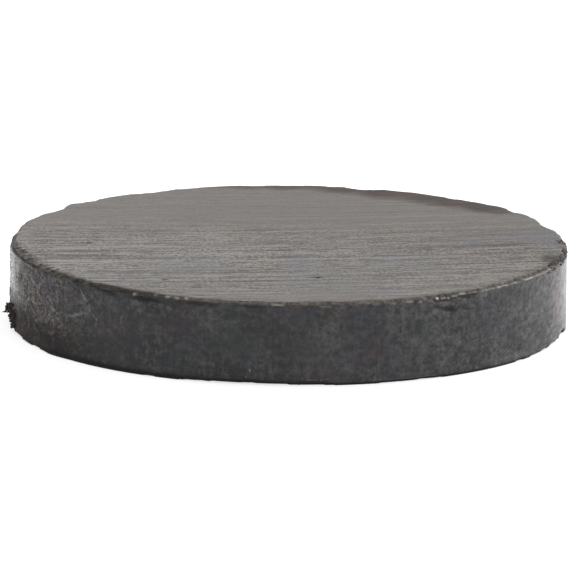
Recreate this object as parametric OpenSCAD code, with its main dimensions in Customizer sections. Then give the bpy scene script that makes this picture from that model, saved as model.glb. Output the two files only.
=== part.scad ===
// Disc magnet: a pressed and sintered ferrite puck with both pole faces ground flat.
// The origin is the centre of the lower pole face, and +Z is the axis it is magnetised along.
// Grinding and tumbling leave a narrow broken edge on each rim. Ferrite is brittle, so knocks
// against other magnets have taken shell-shaped flakes out of both rims.

/* [Disc] */
// Diameter of the disc
disc_d = 20; // [10:0.5:40]
// Thickness between the two ground pole faces
disc_t = 3; // [2:0.25:10]

/* [Broken edges] */
// How far the upper edge break reaches in over the pole face
top_break_w = 0.1; // [0.05:0.01:0.3]
// How far the upper edge break reaches down the wall
top_break_h = 0.08; // [0.05:0.01:0.3]
// How far the lower edge break reaches in over the pole face
base_break_w = 0.08; // [0.05:0.01:0.3]
// How far the lower edge break reaches up the wall
base_break_h = 0.07; // [0.05:0.01:0.3]

/* [Crumbled rims] */
// Number of small flakes lost round the upper rim
top_crumbs = 36; // [0:1:60]
// Number of small flakes lost round the lower rim
base_crumbs = 16; // [0:1:60]
// Length of the smallest of these flakes along the rim
crumb_min = 0.3; // [0.2:0.05:0.6]
// Length of the largest of these flakes along the rim
crumb_max = 0.8; // [0.6:0.05:1.4]
// How deep a small flake bites into the broken edge, as a share of its length
crumb_bite = 0.07; // [0.04:0.01:0.15]
// Seed of the scatter of the small flakes
crumb_seed = 7; // [1:1:99]

/* [Hidden] */
$fn = 96;
disc_r = disc_d / 2;
UPPER = 1;
LOWER = -1;
rim_facets = 360;

// The larger flakes, each as [angle round the disc, length along the rim, bite, lean].
// The bite is the depth below the middle of the broken edge. A lean of 45 takes as much off the
// pole face as off the wall, a higher one lies over the face and a lower one runs along the wall.
TOP_FLAKES = [
    [8, 1.4, 0.06, 45],
    [20, 2, 0.1, 45],
    [74, 1.5, 0.13, 60],
    [91, 2.6, 0.05, 55],
    [97, 1.4, 0.08, 50],
    [112, 1.4, 0.05, 50],
    [120.5, 2.4, 0.1, 52],
    [149, 2, 0.1, 45],
    [170.5, 2.2, 0.08, 45],
    [178.5, 2.6, 0.1, 45],
    [185, 2.2, 0.05, 70],
    [192, 2.4, 0.07, 74],
    [200, 2.8, 0.06, 73],
    [207, 2.2, 0.06, 72],
    [213, 1.6, 0.06, 68],
    [218, 1.2, 0.1, 64],
    [223, 1, 0.1, 50],
    [230, 1.8, 0.05, 62],
    [239, 2, 0.04, 40],
    [268, 0.6, 0.06, 30],
    [276, 1.6, 0.05, 62],
    [286, 1.4, 0.04, 62],
    [303, 1.6, 0.06, 20],
    [309, 1.3, 0.05, 20],
    [318, 1.6, 0.03, 66],
    [326, 1.8, 0.05, 70],
    [334, 1.6, 0.05, 68],
    [342, 1.5, 0.08, 66],
    [349, 1.2, 0.09, 58],
    [356, 1, 0.09, 50],
];
BASE_FLAKES = [
    [187.5, 2.2, 0.1, 45],
    [195, 1.4, 0.05, 45],
    [252, 1.8, 0.1, 56],
    [257, 2, 0.15, 56],
    [262, 2.4, 0.17, 56],
    [268, 2.2, 0.13, 52],
    [275, 2.2, 0.1, 38],
    [293, 1.8, 0.05, 50],
    [299, 2, 0.06, 50],
    [333, 1.2, 0.05, 45],
    [338, 1.3, 0.07, 45],
    [343.5, 1.6, 0.09, 45],
    [350, 1.9, 0.16, 40],
];

// Within its own share of the turn a small flake keeps clear of the share's two ends.
crumb_place = [0.1, 0.9];
// Leans of the small flakes
crumb_lean = [32, 60];

// Where the blank's wall meets each pole face, and how far its broken edge reaches.
function rim_z(side) = side == UPPER ? disc_t : 0;
function break_w(side) = side == UPPER ? top_break_w : base_break_w;
function break_h(side) = side == UPPER ? top_break_h : base_break_h;

// Radius of the ball whose cap is this long across and this deep.
function scoop_r(length, depth) = (length * length / 4 + depth * depth) / (2 * depth);

// The blank as ground: a true cylinder with a broken edge at each end.
module ground_blank() {
    rotate_extrude($fn = rim_facets)
        polygon([
            [0, rim_z(LOWER)],
            [disc_r - base_break_w, rim_z(LOWER)],
            [disc_r, rim_z(LOWER) + base_break_h],
            [disc_r, rim_z(UPPER) - top_break_h],
            [disc_r - top_break_w, rim_z(UPPER)],
            [0, rim_z(UPPER)],
        ]);
}

// One shell-shaped flake scar: a ball that bites into the middle of a rim's broken edge.
module rim_flake(side, angle, length, bite, lean) {
    ball_r = scoop_r(length, bite);
    clear = ball_r - bite;
    rotate([0, 0, angle])
        translate([
            disc_r - break_w(side) / 2 + clear * cos(lean),
            0,
            rim_z(side) + side * (clear * sin(lean) - break_h(side) / 2),
        ])
            sphere(ball_r);
}

// The larger flakes of one rim.
module flaked_rim(side, flakes) {
    for (f = flakes)
        rim_flake(side, f[0], f[1], f[2], f[3]);
}

// Small flakes scattered round one rim, one in each equal share of the turn.
module crumbled_rim(side, count, seed) {
    places = rands(crumb_place[0], crumb_place[1], max(count, 1), seed);
    lengths = rands(crumb_min, crumb_max, max(count, 1), seed + 1);
    leans = rands(crumb_lean[0], crumb_lean[1], max(count, 1), seed + 2);
    for (i = [0 : 1 : count - 1])
        rim_flake(side, 360 * (i + places[i]) / count, lengths[i], lengths[i] * crumb_bite, leans[i]);
}

// The magnet: one sintered piece.
module ferrite_disc() {
    color("#4a4644")
        difference() {
            ground_blank();
            flaked_rim(UPPER, TOP_FLAKES);
            flaked_rim(LOWER, BASE_FLAKES);
            crumbled_rim(UPPER, top_crumbs, crumb_seed);
            crumbled_rim(LOWER, base_crumbs, crumb_seed + 10);
        }
}

ferrite_disc();
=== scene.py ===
"""A sintered ferrite disc magnet lying on one of its two ground pole faces.

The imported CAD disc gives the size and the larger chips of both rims. This script lays a finer skin
over it: the furrows that the grinding wheel left, the grainy sintered wall, the crumbled rims and
the ferrite dust that the magnet holds. Lengths are in millimetres and turn to metres at the mesh.
Angles go round the disc in degrees: 0 is the right-hand end, 180 the left and 270 the front.
"""

import itertools
import math

import bmesh
import bpy
import numpy as np
from mathutils import Matrix, Vector
from mathutils.bvhtree import BVHTree
from mathutils.geometry import delaunay_2d_cdt


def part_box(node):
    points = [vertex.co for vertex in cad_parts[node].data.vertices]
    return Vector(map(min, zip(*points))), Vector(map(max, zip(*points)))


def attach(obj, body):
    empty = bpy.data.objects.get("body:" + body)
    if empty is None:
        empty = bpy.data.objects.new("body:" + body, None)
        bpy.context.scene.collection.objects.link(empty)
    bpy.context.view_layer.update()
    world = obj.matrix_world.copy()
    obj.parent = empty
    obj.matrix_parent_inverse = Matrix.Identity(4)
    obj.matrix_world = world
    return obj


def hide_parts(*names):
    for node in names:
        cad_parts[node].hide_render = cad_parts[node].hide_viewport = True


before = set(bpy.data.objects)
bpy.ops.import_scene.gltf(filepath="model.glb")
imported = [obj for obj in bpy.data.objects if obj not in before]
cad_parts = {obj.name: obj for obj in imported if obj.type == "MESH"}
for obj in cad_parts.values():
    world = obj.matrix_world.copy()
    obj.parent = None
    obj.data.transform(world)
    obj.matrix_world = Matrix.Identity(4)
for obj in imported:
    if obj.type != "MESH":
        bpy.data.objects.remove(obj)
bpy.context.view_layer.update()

MM = 0.001
DISC = "ferrite_disc"
LOW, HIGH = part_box(DISC)
RADIUS = (HIGH.x - LOW.x) / 2 / MM
THICKNESS = (HIGH.z - LOW.z) / MM

# The skin's mesh: its steps round the disc, and the height of a row of the wall.
AROUND = 1200
WALL_STEP = 0.12
# The rings of each rim, by how far they lie from its corner along the face and along the wall, and a few
# more rings of the upper face.
RIM_REACH = 0.5
UPPER_STEPS = [RIM_REACH, 0.4, 0.31, 0.24, 0.18, 0.13, 0.09, 0.055, 0.025]
LOWER_STEPS = [RIM_REACH, 0.35, 0.24, 0.15, 0.08, 0.03]
FACE_BAND = [0.86, 0.74, 0.61]
# The filling of the faces: fine rows along the furrows of the upper one, and wide steps on the lower one.
FURROW_STEP = 0.05
ALONG_STEP = 0.26
BASE_STEP = 1.0
# Lengths that differ by less than this are equal, and points that lie closer than this are one.
SAME_LENGTH = 1e-6
SAME_POINT = 1e-7

# The CAD mesh strays this far from the true cylinder and the true plane: a smaller dip isn't a chip.
WALL_ERROR = 0.012
FACE_ERROR = 0.002
# A chip begins to look broken at the first of these depths and is all broken at the second.
BROKEN_DEPTHS = (0.004, 0.02)

# The grinding wheel swept arcs about this far-off point.
WHEEL_CENTRE = (-12.0, 94.0)

# The furrows of a ground face: (length, width, depth, seed), and the few that are torn deeper.
FURROWS = [
    (14.0, 0.50, 0.0042, 1),
    (9.0, 0.26, 0.0028, 2),
    (4.0, 0.15, 0.0016, 3),
]
TORN_FURROWS = (7.0, 0.18, 0.0070, 4)

# The grain of broken and of sintered ferrite: (height, size, seed).
BROKEN_GRAIN = [(0.022, 0.24, 11), (0.014, 0.11, 12)]
SINTERED_GRAIN = [(0.0045, 0.50, 13), (0.0025, 0.22, 14)]
# How far a broken edge lies below the CAD disc's chip.
BROKEN_LOSS = 0.008

# Where the pressed edge bulges past the round: (start, peak and end of the bulge, how far out).
UPPER_LIPS = [
    (23.5, 29.5, 42.0, 0.14),
    (36.6, 38.6, 53.0, 0.19),
    (57.0, 62.5, 67.0, 0.08),
    (139.8, 141.8, 146.5, 0.16),
    (158.0, 161.0, 164.0, 0.05),
]
LOWER_LIPS = [(208.0, 213.0, 220.0, 0.08)]

# Pores that the grinding opened in the upper face: (x, y, half length, half width), and their depth.
PORES = [
    (-7.19, -0.48, 0.09, 0.13),
    (1.03, -5.83, 0.10, 0.13),
    (-4.39, -6.50, 0.09, 0.12),
    (3.90, -4.06, 0.05, 0.06),
    (-6.10, -3.00, 0.06, 0.06),
]
PORE_DEPTH = 0.06

# Painted glints on nicks along the upper rim, small facets drawn bright as if they caught the light:
# (angle, how far below the face, half length in degrees, brightness).
RIM_GLINTS = [
    (237.2, 0.10, 0.50, 0.55),
    (242.1, 0.05, 0.40, 0.35),
    (244.9, 0.05, 0.70, 0.50),
    (246.9, 0.06, 0.65, 0.45),
    (248.9, 0.06, 0.50, 0.42),
    (268.0, 0.10, 1.60, 0.34),
    (277.5, 0.14, 1.60, 0.16),
    (283.5, 0.10, 1.10, 0.12),
    (288.0, 0.11, 1.20, 0.16),
    (291.6, 0.14, 0.90, 0.26),
    (295.3, 0.12, 1.20, 0.32),
    (297.7, 0.16, 0.50, 0.35),
    (300.2, 0.17, 0.60, 0.12),
    (301.9, 0.13, 0.45, 0.90),
    (303.4, 0.15, 0.80, 0.40),
    (304.6, 0.17, 0.45, 0.50),
    (306.0, 0.12, 0.90, 0.32),
    (308.2, 0.08, 0.90, 0.75),
]

# Stretches of the rims, in degrees: (start, end, fade), with a strength where several are added up.
# Handling has rubbed these parts of the upper rim paler.
RUBBED_FRONT = [(244, 268, 4, 0.055), (268, 312, 4, 0.030)]
RUBBED_LEFT = (184, 203, 3)
# Grime lies on these parts of the upper rim, with painted shade along its broken front-left edge, and the
# foot of the wall is painted dark as shade.
DARK_EDGE = (203, 230, 3)
THIN_DARK_EDGE = (187, 206, 2)
PITTED_EDGE = (184, 216, 4)
SOILED_FRONT = [(210, 240, 8, 0.70), (240, 256, 5, 0.20), (262, 306, 5, 0.12)]
HANDLED_FRONT = (236, 266, 8)
GRIME_LINE = (298, 352, 4)
SOOTY_END = (341, 359, 3)
SHADED_FOOT = (198, 272, 12)

# The pale ridge is a painted highlight where the top corner of the wall would catch the light. It runs this
# far below the upper face: a haze along it, its bright stretches as (start, end), and fainter traces of it as
# (start, end, fade, brightness, speckle at which they begin).
RIDGE_DROP = 0.10
RIDGE_HAZE = (307, 338, 2)
RIM_RIDGES = [
    (307.1, 309.2),
    (309.7, 311.9),
    (312.7, 319.0),
    (320.0, 321.4),
    (322.9, 324.9),
    (326.6, 332.6),
]
RIDGE_TRACES = [
    (333, 350, 2, 0.60, 0.0),
    (286, 308, 3, 0.25, 0.1),
]

# More grime at the right of the upper rim: spots in the line along it and crumbly patches inside that line,
# as (angle, half length in degrees), and a smudge on the face as (x, y, half its size in x and in y).
LINE_SPOTS = [(276.5, 2.5), (326.5, 2.0), (334.0, 1.3), (343.0, 2.0)]
CRUMBLY_PATCHES = [(323.5, 4.0), (333.5, 2.5), (342.5, 3.0)]
SMUDGE = (9.36, -2.30, 0.44, 0.85)

# The dust tuft, measured to the right from the disc's left end and up: the left side of its body, the right
# side of its root, the height where they meet, and the gap in the body: (across, height, radius). It sits
# TUFT_LEAN higher for each mm that it comes round to the front.
TUFT_LEFT = -0.13
TUFT_RIGHT = 0.25
TUFT_WAIST = 0.36
TUFT_GAP = (0.15, 0.45, 0.07)
TUFT_LEAN = 0.22

# The stretch of the upper rim that holds crumbs at the right end, and the place of a fleck of coarse ones.
CRUMB_STRETCH = (337, 358)
CRUMB_FLECK = 3

# Longer scores across the upper face: (x, y, half length, half width, tilt, strength).
PALE_SCORES = [
    (-7.90, -1.50, 1.80, 0.19, 3, 1.00),
    (-7.90, -2.28, 1.60, 0.10, 3, 0.60),
    (7.60, -0.50, 2.20, 0.14, 15.5, 0.45),
    (-1.70, -2.15, 0.75, 0.07, -73, 0.80),
]
DARK_SCORES = [
    (7.35, -0.14, 2.60, 0.17, 15.5, 0.90),
    (-8.00, -1.05, 1.60, 0.16, 3, 0.40),
    (-7.20, -1.92, 2.30, 0.19, 3, 0.75),
    (-7.00, -2.68, 2.30, 0.24, 3, 0.70),
]

# The patches that the wheel hardly touched, at the back right of the upper face:
# (angle, how far in from the rim, half length, half width, strength).
MISSED_PATCHES = [
    (37.8, 0.45, 1.2, 0.80, 0.70),
    (43.0, 0.50, 1.9, 1.20, 0.82),
    (50.0, 0.55, 2.2, 1.45, 0.82),
    (58.0, 0.50, 2.4, 1.45, 0.82),
    (67.0, 0.50, 2.6, 1.40, 0.85),
    (78.0, 0.35, 2.6, 1.25, 0.80),
    (90.0, 0.25, 2.4, 1.00, 0.65),
    (100.0, 0.15, 1.8, 0.80, 0.50),
]

# Scrapes and stains on the wall: (angle, height, half length, half width, tilt, strength).
WALL_SCRAPES = [
    (221.5, 1.74, 0.80, 0.11, 18, 0.50),
    (213.0, 1.28, 0.85, 0.13, 15, 0.40),
    (208.8, 1.08, 0.30, 0.10, 0, 0.35),
    (223.9, 2.42, 0.42, 0.09, -54, 0.55),
    (226.3, 1.90, 0.34, 0.07, -48, 0.40),
    (227.5, 1.62, 0.20, 0.05, 85, 0.80),
    (196.0, 2.55, 0.30, 0.07, 80, 0.50),
    (199.5, 2.45, 0.25, 0.06, 100, 0.45),
    (202.5, 1.65, 0.30, 0.09, 30, 0.45),
    (205.8, 1.50, 0.30, 0.07, 80, 0.35),
    (212.3, 2.25, 0.35, 0.05, 85, 0.40),
    (234.0, 1.90, 0.30, 0.05, 85, 0.25),
    (262.3, 0.52, 0.06, 0.06, 0, 0.90),
    (261.8, 0.28, 0.06, 0.05, 0, 0.80),
    (267.9, 2.92, 0.24, 0.06, -8, 1.00),
    (275.5, 0.23, 0.95, 0.05, -3, 0.35),
    (282.0, 0.78, 0.22, 0.05, 55, 0.35),
    (306.6, 0.30, 0.05, 0.05, 0, 0.50),
    (311.8, 0.18, 0.06, 0.06, 70, 0.60),
    (314.2, 2.72, 0.14, 0.06, 85, 0.65),
]
WALL_STAINS = [
    (200.8, 0.84, 0.24, 0.14, 0, 1.00),
    (198.2, 2.32, 0.13, 0.12, 0, 0.80),
    (203.5, 1.74, 0.09, 0.06, 0, 0.80),
    (197.0, 2.20, 0.45, 0.35, 30, 0.45),
    (206.5, 2.60, 0.50, 0.15, -10, 0.40),
    # These three paint the shadow along the lower step of a shallow flake below the upper rim.
    (304.6, 2.46, 0.75, 0.17, -8, 0.75),
    (302.3, 2.55, 0.45, 0.12, -5, 0.60),
    (309.1, 2.37, 0.34, 0.12, -12, 0.65),
    (229.5, 2.84, 0.95, 0.15, -8, 0.65),
    (240.0, 2.76, 1.00, 0.16, 0, 0.75),
    (252.0, 2.82, 1.10, 0.10, 0, 0.60),
    (262.0, 2.84, 1.00, 0.08, 0, 0.55),
    (222.1, 2.84, 0.16, 0.05, 70, 0.90),
    (325.0, 0.52, 0.30, 0.25, 20, 0.40),
    (299.5, 0.62, 0.25, 0.12, 0, 0.35),
]

# Broad discolourings of the wall: (angle, height, half length, half width, colour, strength). The dark ones
# less than 1 mm high between 195 and 231 degrees are painted shade towards the foot.
WALL_TINTS = [
    (195.0, 0.70, 3.00, 1.10, "#160f0a", 0.60),
    (214.0, 0.30, 2.60, 0.60, "#130e0a", 0.75),
    (231.0, 0.08, 3.60, 0.30, "#120b08", 0.85),
    (226.0, 0.70, 2.60, 0.70, "#0c0f0f", 0.60),
    (225.0, 1.60, 2.00, 0.90, "#121113", 0.45),
    (197.5, 2.50, 0.90, 0.60, "#544e49", 0.50),
    (205.0, 2.60, 0.90, 0.30, "#120d09", 0.60),
    (217.0, 2.84, 1.80, 0.22, "#141013", 0.70),
    (211.0, 2.30, 0.90, 0.60, "#39333f", 0.35),
    (209.0, 1.20, 0.70, 0.35, "#3b3745", 0.35),
    (240.0, 2.90, 3.60, 0.22, "#100b08", 0.80),
    (248.0, 1.70, 2.40, 0.90, "#241c1f", 0.35),
    (262.0, 1.50, 1.60, 0.90, "#1d2321", 0.35),
    (274.0, 1.20, 0.90, 0.90, "#2c2222", 0.35),
    (287.5, 1.00, 1.20, 0.45, "#38282a", 0.40),
    (343.0, 1.60, 0.50, 0.90, "#523b34", 0.55),
    (344.6, 0.90, 0.45, 1.00, "#4d3c37", 0.50),
    (328.5, 0.50, 0.70, 0.32, "#1c1b1b", 0.60),
]

# The grit's scores are a few hundredths of a mm wide. They are drawn 0.16 mm and wider so that they show:
# (length, width, share).
SCORES = [
    (14.0, 0.34, 1.35),
    (2.6, 0.22, 1.25),
    (0.7, 0.17, 1.40),
    (0.11, 0.16, 2.20),
]
# A few grits dug deeper: long pale scores, and rows of short dark tears: (length, width, rarity, share).
DEEP_SCORES = [
    (11.0, 0.19, 0.66, 0.60),
    (0.6, 0.18, 0.64, -0.60),
]
DEEP_SCORE_FADE = 0.12
# How closely the scores are packed from the middle of the face to a point, and the change of that with each
# mm that the point lies further back.
PACKING = 0.83
PACKING_CHANGE = -0.0143

# Faint clouds of other tints: (clouds per mm, rarity, colour). A cloud or a deep score lies where its noise
# is above its rarity, and comes in over its fade.
CLOUD_FADE = 0.14
GROUND_CLOUDS = [
    (0.30, 0.50, "#49413a"),
    (0.36, 0.51, "#464a41"),
    (0.41, 0.54, "#51444a"),
    (0.50, 0.53, "#45484f"),
]
WALL_CLOUDS = [
    (0.75, 0.50, "#351e1d"),
    (0.90, 0.50, "#162725"),
    (0.60, 0.50, "#211d30"),
]


# ---------------------------------------------------------------- helpers

def srgb(code):
    """A hex colour such as #3c3a39 as the linear colour that Blender wants."""
    parts = [int(code[i:i + 2], 16) / 255 for i in (1, 3, 5)]
    return [c / 12.92 if c <= 0.04045 else ((c + 0.055) / 1.055) ** 2.4 for c in parts] + [1.0]


def smooth(value, start, end):
    """0 before start, 1 after end, and a smooth step between them."""
    t = np.clip((value - start) / (end - start), 0, 1)
    return t * t * (3 - 2 * t)


# Large numbers without a common pattern, which scramble a cell's place into a random number, and how far
# the next seed's cells lie from this one's.
AXIS_SCRAMBLERS = (73856093, 19349663, 83492791)
LAST_SCRAMBLER = 1274126177
SEED_SHIFT = 31.7


def lumps(points, size, seed):
    """Noise from -1 to 1 for each point, in soft lumps about size mm across."""
    place = np.asarray(points, float) / size + SEED_SHIFT * seed
    cell = np.floor(place).astype(np.int64)
    part = place - cell
    part = part * part * (3 - 2 * part)
    total = np.zeros(len(place))
    for corner in itertools.product((0, 1), repeat=place.shape[1]):
        at = cell + corner
        mixed = np.zeros(len(place), np.int64)
        for axis, scrambler in zip(at.T, AXIS_SCRAMBLERS):
            mixed ^= axis * scrambler
        mixed = (mixed ^ (mixed >> 13)) * LAST_SCRAMBLER & 0x7FFFFFFF
        weight = np.prod(np.where(corner, part, 1 - part), axis=1)
        total += weight * ((mixed >> 7) % 65536 / 32767.5 - 1)
    return total


def around_gap(degrees, middle):
    """How far round the disc each angle lies from a middle one, in degrees either way."""
    return np.abs((np.asarray(degrees) - middle + 180) % 360 - 180)


def stretch_of_rim(degrees, start, end, fade):
    """1 between two angles round the disc, with a fade of so many degrees about both ends."""
    half = ((end - start) % 360) / 2
    return 1 - smooth(around_gap(degrees, start + half), half - fade, half + fade)


def stretches_of_rim(degrees, rows):
    """The sum of stretches round the disc, each given as (start, end, fade, strength)."""
    return sum(strength * stretch_of_rim(degrees, *stretch) for *stretch, strength in rows)


def round_the_disc(points):
    """Each point's angle round the disc in degrees, and how far out from the axis it is."""
    degrees = np.degrees(np.arctan2(points[:, 1], points[:, 0])) % 360
    return degrees, np.hypot(points[:, 0], points[:, 1])


def near_the_wall(out, start, end):
    """0 further in from the wall than start, 1 nearer to it than end, and a smooth step between them."""
    return smooth(out, RADIUS - start, RADIUS - end)


def arc_from_front(degrees):
    """The length of wall between the front and an angle, in mm: more than 0 towards the right."""
    return math.radians((degrees - 90) % 360 - 180) * RADIUS


def put_in_scene(name, data):
    """A new object of this mesh, light or camera, in the scene."""
    piece = bpy.data.objects.new(name, data)
    bpy.context.scene.collection.objects.link(piece)
    return piece


# ---------------------------------------------------------------- the form of the disc

def chip_finder():
    """A ray caster on the CAD disc's mesh."""
    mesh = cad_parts[DISC].data
    mesh.calc_loop_triangles()
    points = [v.co / MM for v in mesh.vertices]
    triangles = [tuple(t.vertices) for t in mesh.loop_triangles]
    return BVHTree.FromPolygons(points, triangles)


def rim_profile():
    """The section of the disc as a sharp-cornered path, and the point that each sample is seen from.

    Returns two arrays of (radius, height), from the upper face over the wall to the lower face.
    """
    heart_out = RADIUS - RIM_REACH
    upper_heart = (heart_out, THICKNESS - RIM_REACH)
    lower_heart = (heart_out, RIM_REACH)
    path = [(RADIUS - inward, THICKNESS) for inward in FACE_BAND]
    seen_from = [(RADIUS - inward, THICKNESS - RIM_REACH) for inward in FACE_BAND]
    path += [(RADIUS - inward, THICKNESS) for inward in UPPER_STEPS]
    path += [(RADIUS, THICKNESS - down) for down in reversed(UPPER_STEPS)]
    seen_from += [upper_heart] * (2 * len(UPPER_STEPS))
    middle = THICKNESS - 2 * RIM_REACH
    rows = int(round(middle / WALL_STEP))
    for i in range(1, rows):
        height = THICKNESS - RIM_REACH - middle * i / rows
        path.append((RADIUS, height))
        seen_from.append((heart_out, height))
    path += [(RADIUS, up) for up in LOWER_STEPS]
    path += [(RADIUS - inward, 0) for inward in reversed(LOWER_STEPS)]
    seen_from += [lower_heart] * (2 * len(LOWER_STEPS))
    return np.array(path), np.array(seen_from)


def chip_depths(path, seen_from, degrees):
    """How deep the CAD disc's surface lies below the sharp-cornered path, in mm."""
    finder = chip_finder()
    depths = np.zeros((len(path), len(degrees)))
    reach = path - seen_from
    length = np.hypot(reach[:, 0], reach[:, 1])
    turns = np.radians(degrees)
    near_rim = np.minimum(path[:, 1], THICKNESS - path[:, 1]) <= RIM_REACH
    for k in np.flatnonzero(near_rim):
        out, up = reach[k] / length[k]
        for i, turn in enumerate(turns):
            c, s = math.cos(turn), math.sin(turn)
            start = Vector((seen_from[k, 0] * c, seen_from[k, 0] * s, seen_from[k, 1]))
            point, _, _, distance = finder.ray_cast(start, Vector((out * c, out * s, up)))
            if point is not None:
                depths[k, i] = length[k] - distance
    error = np.where(path[:, 0] < RADIUS - SAME_LENGTH, FACE_ERROR, WALL_ERROR)[:, None]
    return depths * smooth(depths, error, 2 * error)


def bulge(degrees, lips):
    """How far an edge stands out past the round at each angle, in mm."""
    out = np.zeros(len(degrees))
    for start, peak, end, height in lips:
        rise = smooth(degrees, start, peak) * (1 - smooth(degrees, peak, end))
        out = np.maximum(out, height * rise)
    return out


def wheel_coords(x, y):
    """Where a point of a face lies along and across the grinding wheel's arcs, in mm."""
    dx = x - WHEEL_CENTRE[0]
    dy = y - WHEEL_CENTRE[1]
    across = np.hypot(dx, dy)
    along = np.arctan2(dx, -dy) * across
    return along, across


def furrows(x, y):
    """The height of the ground face above its plane, in mm: fine furrows along the wheel's arcs."""
    along, across = wheel_coords(x, y)
    height = np.zeros(len(x))
    for length, width, depth, seed in FURROWS:
        height += depth * lumps(np.stack([along / length, across / width], 1), 1.0, seed)
    length, width, depth, seed = TORN_FURROWS
    torn = lumps(np.stack([along / length, across / width], 1), 1.0, seed)
    return height - depth * smooth(torn, 0.55, 0.9)


def pores(x, y):
    """How far each point of the upper face lies inside a pore, from 0 to 1."""
    inside = np.zeros(len(x))
    for px, py, half_length, half_width in PORES:
        away = np.hypot((x - px) / half_length, (y - py) / half_width)
        inside = np.maximum(inside, 1 - smooth(away, 0.45, 1.0))
    return inside


def pore_rings():
    """Points in rings over each pore, so that the mesh can follow it."""
    points = []
    for px, py, half_length, half_width in PORES:
        points.append((px, py))
        for share, count in ((0.4, 7), (0.75, 11), (1.0, 14)):
            for k in range(count):
                turn = math.tau * k / count
                x = px + share * half_length * math.cos(turn)
                y = py + share * half_width * math.sin(turn)
                points.append((x, y))
    return points


def rim_points(degrees):
    """The skin's rings as [ring, step round, xyz], and three more arrays over the same steps.

    They say which way the surface faces, how broken it is from 0 to 1, and whether it is wall.
    """
    path, seen_from = rim_profile()
    depths = chip_depths(path, seen_from, degrees)
    reach = path - seen_from
    reach /= np.hypot(reach[:, 0], reach[:, 1])[:, None]
    turns = np.radians(degrees)
    out = path[:, 0, None] - depths * reach[:, 0, None]
    up = path[:, 1, None] - depths * reach[:, 1, None]
    edge = near_the_wall(out, 0.4, 0.05)
    out = out + edge * smooth(up, THICKNESS - 0.6, THICKNESS - 0.1) * bulge(degrees, UPPER_LIPS)
    out = out + edge * smooth(-up, -0.5, -0.1) * bulge(degrees, LOWER_LIPS)
    rings = np.stack([out * np.cos(turns), out * np.sin(turns), up], 2)
    outward = reach[:, 0, None]
    upward = np.repeat(reach[:, 1, None], len(turns), 1)
    tilt = np.stack([outward * np.cos(turns), outward * np.sin(turns), upward], 2)
    broken = smooth(depths, *BROKEN_DEPTHS)
    on_wall = (path[:, 0, None] >= RADIUS - SAME_LENGTH) & np.ones_like(depths, bool)
    return rings, tilt, broken, on_wall


def grain(points, layers):
    """The height of a grainy surface at each point, in mm, from its layers of (height, size, seed)."""
    return sum(height * lumps(points, size, seed) for height, size, seed in layers)


def roughened(rings, tilt, broken, on_wall):
    """The rings with the grain of the broken edges, the sintered wall's skin and the face's furrows."""
    flat = rings.reshape(-1, 3)
    share = broken.reshape(-1)
    wall = on_wall.reshape(-1).astype(float)
    # The breaks are smoother at the foot, and the wall is coarser at the left end.
    crumbled = grain(flat, BROKEN_GRAIN) * (0.35 + 0.65 * smooth(flat[:, 2], 0.2, 0.6))
    skin = grain(flat, SINTERED_GRAIN) * (1 + 2 * smooth(-flat[:, 0], 7.0, 9.5))
    lift = share * (crumbled - BROKEN_LOSS) + (1 - share) * wall * skin
    moved = flat + tilt.reshape(-1, 3) * lift[:, None]
    on_top = moved[:, 2] > THICKNESS / 2
    moved[:, 2] += (1 - share) * (1 - wall) * furrows(flat[:, 0], flat[:, 1]) * on_top
    return moved.reshape(rings.shape)


def face_grid(inner_radius, along_step, across_step):
    """Rows of points along the wheel's arcs, inside a circle, as (points, edges of the rows)."""
    points = []
    edges = []
    middle_along, middle_across = wheel_coords(np.zeros(1), np.zeros(1))
    turn_step = along_step / middle_across[0]
    rows = int(RADIUS / across_step)
    columns = int(RADIUS / along_step)
    start_turn = middle_along[0] / middle_across[0]
    for i in range(-rows, rows + 1):
        across = middle_across[0] + i * across_step
        last = None
        for j in range(-columns, columns + 1):
            turn = start_turn + j * turn_step
            x = WHEEL_CENTRE[0] + across * math.sin(turn)
            y = WHEEL_CENTRE[1] - across * math.cos(turn)
            if math.hypot(x, y) > inner_radius:
                last = None
                continue
            points.append((x, y))
            if last is not None:
                edges.append((last, len(points) - 1))
            last = len(points) - 1
    return points, edges


def face_fill(ring, along_step, across_step, extra):
    """Triangles that fill a ring, with rows along the wheel's arcs and extra points: (points, triangles).

    In the triangles, numbers below the ring's length are the ring's own points.
    """
    clear_of_ring = 1.2 * across_step
    inner = np.hypot(ring[:, 0], ring[:, 1]).min() - clear_of_ring
    inside, rows = face_grid(inner, along_step, across_step)
    count = len(ring)
    flat = [Vector((p[0], p[1])) for p in ring] + [Vector(p) for p in inside + extra]
    edges = [(i, (i + 1) % count) for i in range(count)]
    edges += [(a + count, b + count) for a, b in rows]
    inside_the_ring = 1
    made, _, triangles, source, _, _ = delaunay_2d_cdt(flat, edges, [], inside_the_ring, SAME_POINT)
    number = {}
    added = []
    for i, origin in enumerate(source):
        on_ring = [k for k in origin if k < count]
        if on_ring:
            number[i] = on_ring[0]
        else:
            number[i] = count + len(added)
            added.append((made[i].x, made[i].y))
    return np.array(added), [[number[k] for k in t] for t in triangles]


# ---------------------------------------------------------------- wear, dirt and painted light on the rims

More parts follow.
